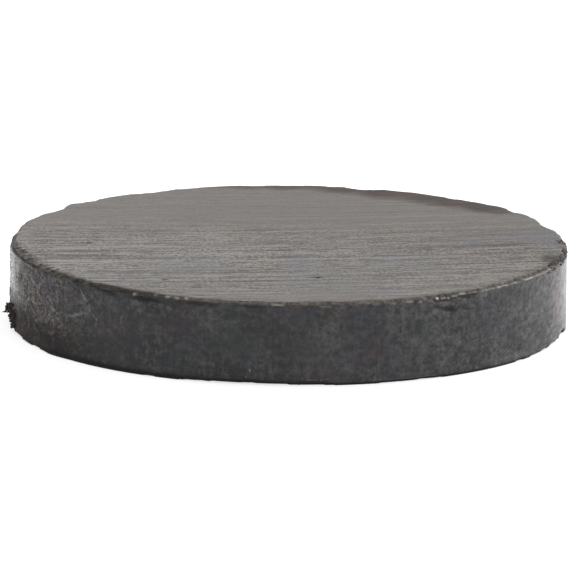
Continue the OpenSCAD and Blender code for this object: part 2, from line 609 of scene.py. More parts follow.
def rim_wear_and_glints(points):
    """The pale wear and painted glints at each point, from 0 to 1: a painted highlight along a thin ridge
    and on a few nicks of the upper rim, and the paler wear that handling rubbed.
    """
    degrees, out = round_the_disc(points)
    drop = THICKNESS - points[:, 2]
    speckle = lumps(points, 0.10, 21)
    # The ridge is painted pale as a highlight along the top corner of the wall.
    ridge = 0.2 * stretch_of_rim(degrees, *RIDGE_HAZE)
    for start, end in RIM_RIDGES:
        ridge = np.maximum(ridge, stretch_of_rim(degrees, start, end, 0.5) * (0.52 + 0.6 * speckle))
    for start, end, fade, bright, least in RIDGE_TRACES:
        trace = bright * stretch_of_rim(degrees, start, end, fade) * smooth(speckle, least, 0.5)
        ridge = np.maximum(ridge, trace)
    wear_and_glints = ridge * (1 - smooth(np.abs(drop - RIDGE_DROP), 0.0, 0.036))
    # Each nick gets a painted glint.
    for middle, below, half, bright in RIM_GLINTS:
        glint = 1 - smooth(around_gap(degrees, middle), 0.5 * half, half)
        glint *= (1 - smooth(np.abs(drop - below), 0.01, 0.055)) * (1 + 0.5 * speckle)
        wear_and_glints = np.maximum(wear_and_glints, bright * glint)
    # Handling has rubbed the rest of the front edge, beside the painted glints, a little paler, and the left
    # one more.
    rubbed = stretches_of_rim(degrees, RUBBED_FRONT) * (1 - smooth(drop, 0.05, 0.16))
    left_edge = 0.24 * stretch_of_rim(degrees, *RUBBED_LEFT) * near_the_wall(out, 0.03, 0.005)
    rubbed = np.maximum(rubbed, left_edge)
    rubbed *= (1 - smooth(drop, 0.13, 0.19)) * (1 + 0.7 * speckle)
    return near_the_wall(out, 0.26, 0.10) * np.clip(np.maximum(wear_and_glints, rubbed), 0, 1)


def rim_grime_and_shade(points):
    """The dark grime and painted shade at each point, from 0 to 1, along both rims and in the pores. The foot
    and the pores are painted shade, and the dark front-left edge partly so.
    """
    degrees, out = round_the_disc(points)
    height = points[:, 2]
    speckle = lumps(points, 0.12, 23)
    patchy = lumps(points, 0.35, 22) + 0.6 * speckle
    upper = smooth(height, THICKNESS - 0.14, THICKNESS - 0.09)
    inside = near_the_wall(out, 0.36, 0.20)

    # The edge is dark at the front left, and further left in a thin line beside the bare corner, with
    # pitting inside it. These dark edges are partly grime and partly painted shade of the broken edge.
    dark_edge = 0.85 * upper * near_the_wall(out, 0.17, 0.10) * stretch_of_rim(degrees, *DARK_EDGE)
    dark_edge *= smooth(patchy, -1.1, -0.3)
    thin_edge = near_the_wall(out, 0.15, 0.11) * (1 - near_the_wall(out, 0.04, 0.02))
    thin_edge = 0.85 * upper * thin_edge * stretch_of_rim(degrees, *THIN_DARK_EDGE)
    thin_edge *= smooth(patchy, -1.2, -0.2)
    pitting = near_the_wall(out, 0.60, 0.42) * stretch_of_rim(degrees, *PITTED_EDGE)
    pitting = 0.7 * upper * pitting * smooth(speckle, -0.1, 0.4)
    # The front is soiled inside the edge, most of all at its left, and faintly where it is handled.
    soiled = upper * inside * stretches_of_rim(degrees, SOILED_FRONT) * smooth(patchy, -1.2, 0.1)
    handled = near_the_wall(out, 1.5, 0.25) * stretch_of_rim(degrees, *HANDLED_FRONT)
    handled = 0.10 * upper * handled
    # At the right a line of grime follows the rim, and ends in soot below the crumbs there.
    line = 0.3 * stretch_of_rim(degrees, *GRIME_LINE) * inside
    crumbly = near_the_wall(out, 0.62, 0.36) * smooth(speckle, -0.35, 0.25)
    spotted = ((LINE_SPOTS, 0.8, 0.5, inside), (CRUMBLY_PATCHES, 1.5, 0.4, crumbly))
    for spots, fade, strength, reach in spotted:
        for middle, half in spots:
            spot = strength * stretch_of_rim(degrees, middle - half, middle + half, fade) * reach
            line = np.maximum(line, spot)
    line = upper * line * smooth(patchy, -0.9, 0.1)
    x, y, half_length, half_width = SMUDGE
    away = np.hypot((points[:, 0] - x) / half_length, (points[:, 1] - y) / half_width)
    smudge = 0.65 * upper * (1 - smooth(away, 0.4, 1.1)) * (1 + 0.5 * speckle)
    sooty_end = stretch_of_rim(degrees, *SOOTY_END) * near_the_wall(out, 0.3, 0.12)
    sooty_end *= smooth(height, THICKNESS - 0.3, THICKNESS - 0.15)
    sooty_end = 0.32 * sooty_end * smooth(speckle, -0.15, 0.35)

    # Painted shade at the foot: a near-black line where the wall meets the table, and over the front left a
    # darker band where the wall mirrors the shaded table.
    shaded_foot_line = 1 - smooth(height, 0.06, 0.11)
    shaded_foot_band = 0.9 * stretch_of_rim(degrees, *SHADED_FOOT) * (1 - smooth(height, 0.09, 0.32))
    # The pores are painted dark as shade.
    pitted = upper * pores(points[:, 0], points[:, 1])
    upper_rim = [dark_edge, thin_edge, pitting, soiled, handled, line, smudge, sooty_end]
    return np.clip(np.maximum.reduce(upper_rim + [shaded_foot_line, shaded_foot_band, pitted]), 0, 1)


# ---------------------------------------------------------------- the skin's mesh

# The skin's material slots.
GROUND, SINTERED, FRACTURED = range(3)


def side_faces(broken, on_wall):
    """The faces between the rings, from the upper face down to the lower one, and the finish of each."""
    faces = []
    finish = []
    for k in range(len(broken) - 1):
        for i in range(AROUND):
            j = (i + 1) % AROUND
            faces.append((k * AROUND + i, (k + 1) * AROUND + i, (k + 1) * AROUND + j, k * AROUND + j))
            if broken[k:k + 2, (i, j)].mean() > 0.5:
                finish.append(FRACTURED)
            elif on_wall[k, i] and on_wall[k + 1, i]:
                finish.append(SINTERED)
            else:
                finish.append(GROUND)
    return faces, finish


def magnet_skin():
    """The whole magnet as one closed mesh, with its surface finish for each face."""
    degrees = np.arange(AROUND) * 360 / AROUND
    rings, tilt, broken, on_wall = rim_points(degrees)
    rings = roughened(rings, tilt, broken, on_wall)

    upper, upper_triangles = face_fill(rings[0], ALONG_STEP, FURROW_STEP, pore_rings())
    pitted = PORE_DEPTH * pores(upper[:, 0], upper[:, 1])
    upper_height = THICKNESS + furrows(upper[:, 0], upper[:, 1]) - pitted
    lower, lower_triangles = face_fill(rings[-1], BASE_STEP, BASE_STEP, [])

    side = rings.reshape(-1, 3)
    top = np.column_stack([upper, upper_height])
    bottom = np.column_stack([lower, np.zeros(len(lower))])
    points = np.concatenate([side, top, bottom])

    faces, finish = side_faces(broken, on_wall)
    for triangles, ring, first, up in (
        (upper_triangles, 0, len(side), True),
        (lower_triangles, len(rings) - 1, len(side) + len(top), False),
    ):
        for t in triangles:
            corners = [ring * AROUND + v if v < AROUND else first + v - AROUND for v in t]
            faces.append(tuple(corners if up else reversed(corners)))
            finish.append(GROUND)

    mesh = bpy.data.meshes.new("magnet_skin")
    mesh.from_pydata((points * MM).tolist(), [], faces)
    mesh.polygons.foreach_set("material_index", finish)
    mesh.polygons.foreach_set("use_smooth", [True] * len(faces))
    for name, values in (("wear_and_glints", rim_wear_and_glints(points)), ("grime_and_shade", rim_grime_and_shade(points))):
        mesh.attributes.new(name, "FLOAT", "POINT").data.foreach_set("value", values.astype(np.float32))
    mesh.update()
    return put_in_scene("magnet_skin", mesh)


# ---------------------------------------------------------------- ferrite dust

def crumb(bm, place, size, rng):
    """One jagged crumb of ferrite dust, added to a bmesh. The place and size are in mm."""
    made = bmesh.ops.create_icosphere(bm, subdivisions=2, radius=1.0)
    stretch = rng.uniform(0.55, 1.25, 3)
    spin = Matrix.Rotation(rng.uniform(0, math.tau), 3, Vector(rng.normal(size=3)).normalized())
    for v in made["verts"]:
        bumpy = rng.uniform(0.72, 1.22)
        local = Vector([c * s for c, s in zip(v.co, stretch)]) * bumpy
        v.co = (spin @ local * size + Vector(place)) * MM


def on_disc(degrees, out, height):
    """The point at an angle round the disc, a distance beyond its wall, and a height, in mm."""
    turn = math.radians(degrees)
    return ((RADIUS + out) * math.cos(turn), (RADIUS + out) * math.sin(turn), height)


def dust_piece(name, crumbs, seed, greyer):
    """A piece made of crumbs, each given as (angle, distance beyond the wall, height, size).

    greyer is how far the paler crumbs among them leave the black of the rest, from 0 to 1.
    """
    rng = np.random.default_rng(seed)
    bm = bmesh.new()
    for degrees, out, height, size in crumbs:
        crumb(bm, on_disc(degrees, out, max(height, size)), size, rng)
    mesh = bpy.data.meshes.new(name)
    bm.to_mesh(mesh)
    bm.free()
    shade = mesh.attributes.new("greyer", "FLOAT", "POINT")
    shade.data.foreach_set("value", [greyer] * len(mesh.vertices))
    return put_in_scene(name, mesh)


def tuft_crumb(across, height, off, size):
    """One crumb of the tuft, from how far right of the disc's left end it is, and how high it seems.

    It stands off the wall by off. The tuft leans as it comes round to the front, so a crumb further round
    sits higher.
    """
    if across < 0:
        return (180 - 6 * off, -across, height, size)
    turn = math.acos((RADIUS - across) / (RADIUS + off))
    forward = RADIUS * math.sin(turn)
    return (180 + math.degrees(turn), off, height + TUFT_LEAN * forward, size)


def dust_tuft():
    """The tuft of ferrite dust that stands off the wall low down at the left end."""
    rng = np.random.default_rng(5)
    crumbs = []
    # Its body has a gap that the wall shows through.
    gap_across, gap_height, gap_radius = TUFT_GAP
    for _ in range(120):
        across = rng.uniform(TUFT_LEFT, 0.21)
        height = rng.uniform(TUFT_WAIST + 0.01, 0.63)
        if math.hypot(across - gap_across, height - gap_height) >= gap_radius:
            crumbs.append(tuft_crumb(across, height, rng.uniform(0.0, 0.06), rng.uniform(0.03, 0.055)))
    # Its root narrows towards the foot of the wall.
    for _ in range(140):
        down = rng.uniform(0, 1)
        across = rng.uniform(TUFT_LEFT + 0.25 * down, TUFT_RIGHT)
        height = TUFT_WAIST - 0.60 * down
        crumbs.append(tuft_crumb(across, height, rng.uniform(0.0, 0.04), rng.uniform(0.025, 0.045)))
    # Specks cling to the wall above it.
    for _ in range(45):
        crumbs.append((rng.uniform(180.2, 187), 0.0, rng.uniform(0.9, 2.8), rng.uniform(0.013, 0.025)))
    # A lobe hangs at its right side, and a spike stands out at its left.
    for _ in range(12):
        across = rng.uniform(0.215, TUFT_RIGHT)
        crumbs.append(tuft_crumb(across, rng.uniform(0.28, 0.46), 0.0, rng.uniform(0.025, 0.04)))
    for step in range(7):
        crumbs.append(tuft_crumb(-0.14 - 0.024 * step, 0.335 - 0.004 * step, 0.0, 0.042 - 0.005 * step))
    return dust_piece("ferrite_dust_tuft", crumbs, seed=6, greyer=0.12)


def rim_dust():
    """Crumbs that the broken upper rim holds at the right end."""
    rng = np.random.default_rng(8)
    crumbs = []
    # They lie over the broken edge, furthest in at the middle of their stretch, and slip down at its end.
    start, end = CRUMB_STRETCH
    for _ in range(220):
        degrees = rng.uniform(start, end)
        swell = math.sin(math.radians(8 * (degrees - start))) ** 0.5
        inward = rng.uniform(-0.04, 0.36 * swell + 0.02)
        height = THICKNESS - 0.035 - max(0, 0.12 - inward)
        crumbs.append((degrees, -inward, height, rng.uniform(0.014, 0.030)))
    for _ in range(40):
        height = THICKNESS - rng.uniform(0.06, 0.24)
        crumbs.append((rng.uniform(346, 357), 0.0, height, rng.uniform(0.012, 0.028)))
    # Finer ones are strewn along the rim towards the front, and a fleck of coarse ones lies just behind.
    for _ in range(50):
        height = THICKNESS - rng.uniform(0.0, 0.03)
        crumbs.append((rng.uniform(322, 343), -rng.uniform(0.07, 0.2), height, rng.uniform(0.010, 0.020)))
    for _ in range(34):
        degrees = CRUMB_FLECK + rng.uniform(-1.6, 1.6)
        height = THICKNESS + rng.uniform(-0.02, 0.03)
        crumbs.append((degrees, -0.18 + rng.normal(0, 0.06), height - 0.01, rng.uniform(0.03, 0.055)))
    return dust_piece("rim_dust", crumbs, seed=9, greyer=1.0)


# ---------------------------------------------------------------- materials

def add(tree, kind, inputs=None, out=0, **settings):
    """Adds a node and gives back one of its outputs. Each input is a value or another node's output.

    Of a Mix node's inputs, 0 is the share of the second, 2 and 3 are the numbers and 6 and 7 the colours.
    """
    node = tree.nodes.new("ShaderNode" + kind)
    for name, value in settings.items():
        setattr(node, name, value)
    for socket, value in (inputs or {}).items():
        if isinstance(value, bpy.types.NodeSocket):
            tree.links.new(value, node.inputs[socket])
        else:
            node.inputs[socket].default_value = value
    return node.outputs[out] if node.outputs else node


def new_material(name):
    """An empty node material and its tree."""
    material = bpy.data.materials.new(name)
    material.use_nodes = True
    material.node_tree.nodes.clear()
    return material, material.node_tree


def body_mm(tree):
    """A point's place in the disc's own frame, in mm."""
    place = add(tree, "TexCoord", out="Object")
    return add(tree, "VectorMath", {0: place, "Scale": 1 / MM}, operation="SCALE")


def along_the_wheel(tree, place):
    """A point's place along and across the grinding wheel's arcs, in mm, with its height."""
    x, y, z = add(tree, "SeparateXYZ", {0: place}).node.outputs
    flat = add(tree, "CombineXYZ", {0: x, 1: y})
    from_centre = add(tree, "VectorMath", {0: flat, 1: WHEEL_CENTRE + (0,)}, operation="SUBTRACT")
    across = add(tree, "VectorMath", {0: from_centre}, out=1, operation="LENGTH")
    right, back, _ = add(tree, "SeparateXYZ", {0: from_centre}).node.outputs
    forward = add(tree, "Math", {0: back, 1: -1.0}, operation="MULTIPLY")
    turn = add(tree, "Math", {0: right, 1: forward}, operation="ARCTAN2")
    along = add(tree, "Math", {0: turn, 1: WHEEL_CENTRE[1]}, operation="MULTIPLY")
    return add(tree, "CombineXYZ", {0: along, 1: across, 2: z})


def unrolled(tree, place):
    """The wall laid flat, in mm: the arc from the front, and the height."""
    x, y, z = add(tree, "SeparateXYZ", {0: place}).node.outputs
    forward = add(tree, "Math", {0: y, 1: -1.0}, operation="MULTIPLY")
    turn = add(tree, "Math", {0: x, 1: forward}, operation="ARCTAN2")
    arc = add(tree, "Math", {0: turn, 1: RADIUS}, operation="MULTIPLY")
    return add(tree, "CombineXYZ", {0: arc, 1: z})


def streaks(tree, place, per_mm, detail):
    """Noise with this many grains per mm along each axis, so that it is drawn out along some of them."""
    packed = add(tree, "VectorMath", {0: place, 1: per_mm}, operation="MULTIPLY")
    return add(tree, "TexNoise", {"Vector": packed, "Scale": 1.0, "Detail": detail})


def summed(tree, noises):
    """The sum of noises that swing about 0.5, each given as (noise, share). The sum swings about 0."""
    total = 0.0
    for noise, share in noises:
        noise = add(tree, "Math", {0: noise, 1: 0.5}, operation="SUBTRACT")
        total = add(tree, "Math", {0: noise, 1: share, 2: total}, operation="MULTIPLY_ADD")
    return total


def clouded(tree, colour, place, clouds, strength):
    """The colour under faint clouds of other tints, each given as (clouds per mm, rarity, colour)."""
    for per_mm, rarity, tint in clouds:
        noise = add(tree, "TexNoise", {"Vector": place, "Scale": per_mm, "Detail": 3.0})
        cover = {"Value": noise, "From Min": rarity, "From Max": rarity + CLOUD_FADE, "To Max": strength}
        cover = add(tree, "MapRange", cover)
        colour = add(tree, "Mix", {0: cover, 6: colour, 7: srgb(tint)}, out=2, data_type="RGBA")
    return colour


def ragged(tree, plane, reach, per_mm):
    """The plane pulled about by up to reach mm, so that the edges of marks on it come out ragged."""
    pull = add(tree, "TexNoise", {"Vector": plane, "Scale": per_mm, "Detail": 2.0}, out=1)
    pull = add(tree, "VectorMath", {0: pull, 1: (0.5, 0.5, 0.5)}, operation="SUBTRACT")
    pull = add(tree, "VectorMath", {0: pull, 1: (4 * reach, 4 * reach, 0)}, operation="MULTIPLY")
    return add(tree, "VectorMath", {0: plane, 1: pull}, operation="ADD")


def patch(tree, plane, middle, halves, tilt, strength):
    """A soft oval patch on the plane: strength at its middle and 0 beyond its edge."""
    inputs = {
        "Vector": plane,
        "Location": (middle[0], middle[1], 0),
        "Rotation": (0, 0, math.radians(tilt)),
        "Scale": (halves[0], halves[1], 1),
    }
    own = add(tree, "Mapping", inputs, vector_type="TEXTURE")
    away = add(tree, "VectorMath", {0: own}, out=1, operation="LENGTH")
    ramp = {"Value": away, "From Min": 1.0, "From Max": 0.25, "To Max": strength}
    return add(tree, "MapRange", ramp, interpolation_type="SMOOTHSTEP")


def marks_cover(tree, plane, marks):
    """How strongly the listed marks cover a point of the plane, from 0 to 1."""
    total = 0.0
    for across, up, half_length, half_width, tilt, strength in marks:
        mark = patch(tree, plane, (across, up), (half_length, half_width), tilt, strength)
        total = add(tree, "Math", {0: mark, 1: total}, operation="MAXIMUM")
    return total


def wall_marks(tree, plane, marks):
    """How strongly the listed marks cover a point of the unrolled wall, from 0 to 1."""
    return marks_cover(tree, plane, [(arc_from_front(mark[0]),) + mark[1:] for mark in marks])


def worn_soiled_and_painted_light(tree, colour, roughness):
    """The colour and roughness under the rim's pale wear with its painted glints, and its dark grime with its
    painted shade.
    """
    wear_and_glints = add(tree, "Attribute", out="Fac", attribute_name="wear_and_glints")
    grime_and_shade = add(tree, "Attribute", out="Fac", attribute_name="grime_and_shade")
    # Pale wear, with the painted highlights on the ridge and the nicks.
    colour = add(tree, "Mix", {0: wear_and_glints, 6: colour, 7: srgb("#d6d1ca")}, out=2, data_type="RGBA")
    # Dark grime, with the painted shade at the foot, in the pores and along the front-left edge.
    colour = add(tree, "Mix", {0: grime_and_shade, 6: colour, 7: srgb("#0c0a08")}, out=2, data_type="RGBA")
    roughness = add(tree, "Mix", {0: wear_and_glints, 2: roughness, 3: 0.6}, data_type="FLOAT")
    return colour, add(tree, "Mix", {0: grime_and_shade, 2: roughness, 3: 1.0}, data_type="FLOAT")


def finish_material(material, tree, colour, roughness, ior, relief, strength, depth):
    """Ends a material with its shader. depth is how far the relief from 0 to 1 stands up, in mm.

    Solid ferrite has an IOR of about 2.4. A sintered surface is full of pores and throws less light back, so
    the materials here have lower ones.
    """
    bump = add(tree, "Bump", {"Height": relief, "Strength": strength, "Distance": depth * MM})
    inputs = {"Base Color": colour, "Roughness": roughness, "IOR": ior, "Normal": bump}
    add(tree, "OutputMaterial", {"Surface": add(tree, "BsdfPrincipled", inputs)})
    return material


def missed_by_the_wheel(tree, plane):
    """How far a point of the upper face lies in the low stretch that the wheel hardly touched."""
    marks = []
    for degrees, inward, half_length, half_width, strength in MISSED_PATCHES:
        x, y, _ = on_disc(degrees, -inward, 0)
        marks.append((x, y, half_length, half_width, degrees - 90, strength))
    return marks_cover(tree, plane, marks)


def wheel_scoring(tree, place):
    """The fine scoring of the ground face: above 0 where a score is pale, and below 0 where it is dark."""
    along, across, up = add(tree, "SeparateXYZ", {0: along_the_wheel(tree, place)}).node.outputs
    # The scores lie closer together at the front, where the wheel bit deeper.
    behind = add(tree, "Math", {0: WHEEL_CENTRE[1], 1: across}, operation="SUBTRACT")
    spread = add(tree, "Math", {0: behind, 1: PACKING_CHANGE, 2: PACKING}, operation="MULTIPLY_ADD")
    spread = add(tree, "Math", {0: behind, 1: spread}, operation="MULTIPLY")
    wheel = add(tree, "CombineXYZ", {0: along, 1: spread, 2: up})
    lines = []
    for length, width, share in SCORES:
        lines.append((streaks(tree, wheel, (1 / length, 1 / width, 1.0), detail=1.0), share))
    score = summed(tree, lines)
    # Another packing by height only takes the deep ones from another layer of the noise.
    for length, width, rarity, share in DEEP_SCORES:
        deep = streaks(tree, wheel, (1 / length, 1 / width, 7.0), detail=0.0)
        deep = {"Value": deep, "From Min": rarity, "From Max": rarity + DEEP_SCORE_FADE}
        deep = add(tree, "MapRange", deep)
        score = add(tree, "Math", {0: deep, 1: share, 2: score}, operation="MULTIPLY_ADD")
    return score


def ground_ferrite():
    """Sintered ferrite after the grinding wheel: a satin grey oxide with fine parallel scoring."""
    material, tree = new_material("ground_ferrite")
    place = body_mm(tree)
    x, y, _ = add(tree, "SeparateXYZ", {0: place}).node.outputs
    flat = add(tree, "CombineXYZ", {0: x, 1: y})
    # The scoring is deepest in the middle. It is rubbed at the front, and shallowest at the back, where the
    # wheel left the face.
    shallow = {"Value": y, "From Min": -2.5, "From Max": 4.0, "To Min": 1.38, "To Max": 0.2}
    rubbed = {"Value": y, "From Min": -9.5, "From Max": -4.0, "To Min": 0.42, "To Max": 1.0}
    depth = add(tree, "MapRange", shallow)
    depth = add(tree, "Math", {0: depth, 1: add(tree, "MapRange", rubbed)}, operation="MULTIPLY")
    score = wheel_scoring(tree, place)
    score = add(tree, "Math", {0: score, 1: depth, 2: 0.5}, operation="MULTIPLY_ADD")
    torn = ragged(tree, flat, reach=0.02, per_mm=3.0)
    for marks, change in ((PALE_SCORES, 0.85), (DARK_SCORES, -1.1)):
        drawn = marks_cover(tree, torn, marks)
        score = add(tree, "Math", {0: drawn, 1: change, 2: score}, operation="MULTIPLY_ADD")
    colour = add(tree, "Mix", {0: score, 6: srgb("#251d18"), 7: srgb("#6b6259")}, out=2, data_type="RGBA")
    # The clouds are clearest in the middle and towards the front right.
    clearer = add(tree, "MapRange", {"Value": x, "From Min": -6.5, "From Max": -1.0, "To Min": 0.3})
    fainter = {"Value": y, "From Min": 0.0, "From Max": 4.0, "To Min": 0.60, "To Max": 0.25}
    clearer = add(tree, "Math", {0: clearer, 1: add(tree, "MapRange", fainter)}, operation="MULTIPLY")
    colour = clouded(tree, colour, place, GROUND_CLOUDS, clearer)
    # The face is duller towards the back, where the wheel left it, and towards the right.
    rough = add(tree, "MapRange", {"Value": score, "To Min": 0.52, "To Max": 0.34})
    leaving = add(tree, "Math", {0: x, 1: 0.25, 2: y}, operation="MULTIPLY_ADD")
    for towards, start, end, change in ((leaving, -4.0, 3.0, 0.035), (x, -6.0, 7.0, 0.045)):
        duller = {"Value": towards, "From Min": start, "From Max": end, "To Max": change}
        rough = add(tree, "Math", {0: rough, 1: add(tree, "MapRange", duller)}, operation="ADD")

    # The wheel hardly touched a low stretch at the back right: it is browner and duller.
    rim = ragged(tree, flat, reach=0.22, per_mm=0.8)
    missed = missed_by_the_wheel(tree, rim)
    rusty = add(tree, "TexNoise", {"Vector": rim, "Scale": 0.9, "Detail": 2.0})
    rusty = add(tree, "MapRange", {"Value": rusty, "From Min": 0.45, "From Max": 0.6})
    brown = add(tree, "Mix", {0: rusty, 6: srgb("#21170f"), 7: srgb("#3e261e")}, out=2, data_type="RGBA")
    colour = add(tree, "Mix", {0: missed, 6: colour, 7: brown}, out=2, data_type="RGBA")
    rough = add(tree, "Mix", {0: missed, 2: rough, 3: 0.92}, data_type="FLOAT")
    colour, rough = worn_soiled_and_painted_light(tree, colour, rough)
    return finish_material(material, tree, colour, rough, ior=1.6, relief=score, strength=1.0, depth=0.006)


def wall_light(tree, place, x, clumps):
    """How light the wall is: clumps of grains, upright lines from the die, pale scuffs from knocks, and a
    painted light that rises towards the right.

    clumps are the wall's cloudy, mottled and gritty noises.
    """
    cloudy, mottle, grit = clumps
    aside = add(tree, "Math", {0: x}, operation="ABSOLUTE")
    # The die leaves faint upright lines, some 0.15 mm apart, as the blank is pushed out.
    lines = streaks(tree, place, (7.0, 7.0, 0.9), detail=2.0)
    grit_share = {"Value": aside, "From Min": 5.0, "From Max": 9.0, "To Min": 1.3, "To Max": 2.3}
    grit_share = add(tree, "MapRange", grit_share)
    light = summed(tree, ((cloudy, 1.3), (mottle, 2.1), (lines, 0.75), (grit, grit_share)))
    # It is darker at the left and at the far right, and more even in the middle. Its level, rising towards
    # the right, is painted light from that side.
    swing = {"Value": aside, "From Min": 0.0, "From Max": 6.0, "To Min": 0.58, "To Max": 0.8}
    strong = {"Value": x, "From Min": -1.0, "From Max": -4.0, "To Min": 1.0, "To Max": 1.3}
    swing = add(tree, "MapRange", swing)
    swing = add(tree, "Math", {0: swing, 1: add(tree, "MapRange", strong)}, operation="MULTIPLY")
    painted_light_level = {"Value": x, "From Min": -4.0, "From Max": 6.0, "To Min": 0.25, "To Max": 0.51}
    far_right = {"Value": x, "From Min": 7.0, "From Max": 8.0, "To Max": -0.05}
    painted_light_level = add(tree, "MapRange", painted_light_level)
    painted_light_level = add(tree, "Math", {0: painted_light_level, 1: add(tree, "MapRange", far_right)}, operation="ADD")
    light = add(tree, "Math", {0: light, 1: swing, 2: painted_light_level}, operation="MULTIPLY_ADD")
    # Knocks have left fine pale scuffs, upright and level, most of them left of the front.
    scuffed = add(tree, "MapRange", {"Value": x, "From Min": -1.0, "From Max": -4.5, "To Min": 0.25})
    for per_mm in ((8.0, 8.0, 1.2), (1.4, 1.4, 8.5)):
        scuff = streaks(tree, place, per_mm, detail=1.0)
        scuff = add(tree, "MapRange", {"Value": scuff, "From Min": 0.58, "From Max": 0.74, "To Max": 0.14})
        light = add(tree, "Math", {0: scuff, 1: scuffed, 2: light}, operation="MULTIPLY_ADD")
    light = add(tree, "Math", {0: light, 1: 0.0}, operation="MAXIMUM")
    return add(tree, "Math", {0: light, 1: 1.4}, operation="POWER")


def wall_roughness(tree, x, clumps, crust, low):
    """How rough the wall is: smoother at both ends, whose foot is dull on the right and dusty on the left."""
    _, mottle, grit = clumps
    rough = {"Value": mottle, "From Min": 0.35, "From Max": 0.65, "To Min": 0.45, "To Max": 0.33}
    rough = add(tree, "MapRange", rough)
    spotty = {"Value": grit, "From Min": 0.35, "From Max": 0.65, "To Min": 0.25, "To Max": -0.1}
    spotty = add(tree, "MapRange", spotty)
    rough = add(tree, "Math", {0: spotty, 1: crust, 2: rough}, operation="MULTIPLY_ADD")
    rough = add(tree, "Math", {0: crust, 1: 0.10, 2: rough}, operation="MULTIPLY_ADD")
    for start, end, change in ((9.35, 9.9, -0.16), (-9.4, -9.85, -0.37)):
        smoother = add(tree, "MapRange", {"Value": x, "From Min": start, "From Max": end, "To Max": change})
        rough = add(tree, "Math", {0: rough, 1: smoother}, operation="ADD")
    duller = add(tree, "MapRange", {"Value": x, "From Min": 7.0, "From Max": 9.0, "To Max": 0.08})
    rough = add(tree, "Math", {0: duller, 1: low, 2: rough}, operation="MULTIPLY_ADD")
    dusty = add(tree, "Math", {0: crust, 1: low}, operation="MULTIPLY")
    return add(tree, "Mix", {0: dusty, 2: rough, 3: 0.9}, data_type="FLOAT")


def sintered_ferrite():
    """The pressed and fired skin of the wall: a dark matt oxide, mottled brown and blue-grey."""
    material, tree = new_material("sintered_ferrite")
    place = body_mm(tree)
    x, _, z = add(tree, "SeparateXYZ", {0: place}).node.outputs
    # The left end is crusted: its grains stand out more and it is browner, most of all at the foot.
    crust = add(tree, "MapRange", {"Value": x, "From Min": -6.0, "From Max": -9.0})
    low = add(tree, "MapRange", {"Value": z, "From Min": 1.7, "From Max": 0.6})
    # Grains and pores clump into spots some 0.1 to 1 mm across, drawn out along the wall at both ends.
    drawn_out = add(tree, "VectorMath", {0: place, 1: (1.0, 0.5, 1.0)}, operation="MULTIPLY")
    cloudy = add(tree, "TexNoise", {"Vector": drawn_out, "Scale": 1.1, "Detail": 2.0})
    mottle = add(tree, "TexNoise", {"Vector": drawn_out, "Scale": 4.6, "Detail": 2.0, "Roughness": 0.6})
    grit = add(tree, "TexNoise", {"Vector": drawn_out, "Scale": 9.5, "Detail": 2.0, "Roughness": 0.7})
    clumps = (cloudy, mottle, grit)
    light = wall_light(tree, place, x, clumps)
    rough = wall_roughness(tree, x, clumps, crust, low)
    # The right side's colours are paler: painted light from that side.
    left, right, crusted = (
        add(tree, "Mix", {0: light, 6: srgb(dark), 7: srgb(pale)}, out=2, data_type="RGBA")
        for dark, pale in (("#060505", "#545455"), ("#080808", "#626161"), ("#130b06", "#6f655e"))
    )
    side = add(tree, "MapRange", {"Value": x, "From Min": -4.0, "From Max": 5.0})
    colour = add(tree, "Mix", {0: side, 6: left, 7: right}, out=2, data_type="RGBA")
    colour = add(tree, "Mix", {0: crust, 6: colour, 7: crusted}, out=2, data_type="RGBA")
    colour = clouded(tree, colour, place, WALL_CLOUDS, strength=0.32)

    wall = unrolled(tree, place)
    torn_wide = ragged(tree, wall, reach=0.2, per_mm=1.2)
    # Tinted patches, and the painted shade low on the wall at the front left.
    for degrees, height, half_length, half_width, tint, strength in WALL_TINTS:
        middle = (arc_from_front(degrees), height)
        cover = patch(tree, torn_wide, middle, (half_length, half_width), 0.0, strength)
        colour = add(tree, "Mix", {0: cover, 6: colour, 7: srgb(tint)}, out=2, data_type="RGBA")
    torn = ragged(tree, wall, reach=0.06, per_mm=3.0)
    scraped = wall_marks(tree, torn, WALL_SCRAPES)
    broken_up = add(tree, "MapRange", {"Value": grit, "From Min": 0.38, "From Max": 0.56})
    scraped = add(tree, "Math", {0: scraped, 1: broken_up}, operation="MULTIPLY")
    # The stains include a painted shadow under a flake at the front right.
    stained = wall_marks(tree, torn, WALL_STAINS)
    for cover, tint in ((scraped, "#868a88"), (stained, "#0b0908")):
        colour = add(tree, "Mix", {0: cover, 6: colour, 7: srgb(tint)}, out=2, data_type="RGBA")
    rough = add(tree, "Mix", {0: stained, 2: rough, 3: 0.95}, data_type="FLOAT")
    colour, rough = worn_soiled_and_painted_light(tree, colour, rough)

    relief = add(tree, "Math", {0: mottle, 1: 0.8, 2: grit}, operation="MULTIPLY_ADD")
    raised = add(tree, "MapRange", {"Value": crust, "To Min": 1.0, "To Max": 2.2})
    relief = add(tree, "Math", {0: relief, 1: raised}, operation="MULTIPLY")
    return finish_material(material, tree, colour, rough, ior=1.45, relief=relief, strength=0.9, depth=0.022)


